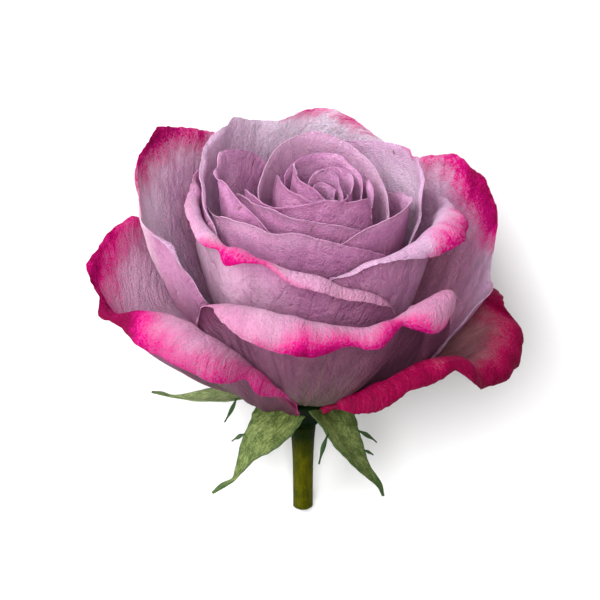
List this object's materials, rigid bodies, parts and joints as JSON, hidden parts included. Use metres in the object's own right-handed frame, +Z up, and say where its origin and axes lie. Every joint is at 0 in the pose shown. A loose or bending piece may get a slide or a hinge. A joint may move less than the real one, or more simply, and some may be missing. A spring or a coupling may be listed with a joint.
{
  "type": "rose",
  "caption": "Cut rose bloom lying on its back: ruffled mauve petals with magenta rolled margins wound round a tight heart, green sepals and a short cut stem, for decoration.",
  "frame": {"origin": "middle of the underside of the bounding box, on the surface that the flower lies on", "axes": "+Z up from that surface; the stem points to -Y and a little down, the top of the flower to +Y; +X is the flower's right as it is looked at from above"},
  "size_m": [0.103, 0.0948, 0.0781],
  "materials": {
    "petal_heart_1": "matte",
    "petal_heart_2": "matte",
    "petal_heart_3": "matte",
    "petal_heart_4": "matte",
    "petal_heart_5": "matte",
    "petal_heart_6": "matte",
    "petal_heart_curl": "matte",
    "petal_heart_arch": "matte",
    "petal_wrap_1": "matte",
    "petal_wrap_2": "matte",
    "petal_wrap_3": "matte",
    "petal_wrap_4": "matte",
    "petal_wrap_5": "matte",
    "petal_wrap_6": "matte",
    "petal_crown": "matte",
    "petal_cup_right": "matte",
    "petal_cup_left": "matte",
    "petal_back": "matte",
    "petal_upper_right": "matte",
    "petal_upper_left": "matte",
    "petal_front": "matte",
    "petal_guard_left": "matte",
    "petal_guard_right": "matte",
    "petal_lower_right": "matte",
    "petal_lower_left": "matte",
    "sepal_front_left": "matte",
    "sepal_front_right": "matte",
    "sepal_left": "matte",
    "sepal_right": "matte",
    "sepal_back": "matte",
    "hip": "satin",
    "stem": "satin"
  },
  "bodies": {
    "root": {"petal_heart_1": "petal_heart_1", "petal_heart_2": "petal_heart_2", "petal_heart_3": "petal_heart_3", "petal_heart_4": "petal_heart_4", "petal_heart_5": "petal_heart_5", "petal_heart_6": "petal_heart_6", "petal_heart_curl": "petal_heart_curl", "petal_heart_arch": "petal_heart_arch", "petal_wrap_1": "petal_wrap_1", "petal_wrap_2": "petal_wrap_2", "petal_wrap_3": "petal_wrap_3", "petal_wrap_4": "petal_wrap_4", "petal_wrap_5": "petal_wrap_5", "petal_wrap_6": "petal_wrap_6", "petal_crown": "petal_crown", "petal_cup_right": "petal_cup_right", "petal_cup_left": "petal_cup_left", "petal_back": "petal_back", "petal_upper_right": "petal_upper_right", "petal_upper_left": "petal_upper_left", "petal_front": "petal_front", "petal_guard_left": "petal_guard_left", "petal_guard_right": "petal_guard_right", "petal_lower_right": "petal_lower_right", "petal_lower_left": "petal_lower_left", "sepal_front_left": "sepal_front_left", "sepal_front_right": "sepal_front_right", "sepal_left": "sepal_left", "sepal_right": "sepal_right", "sepal_back": "sepal_back", "hip": "hip", "stem": "stem"}
  },
  "joints": []
}
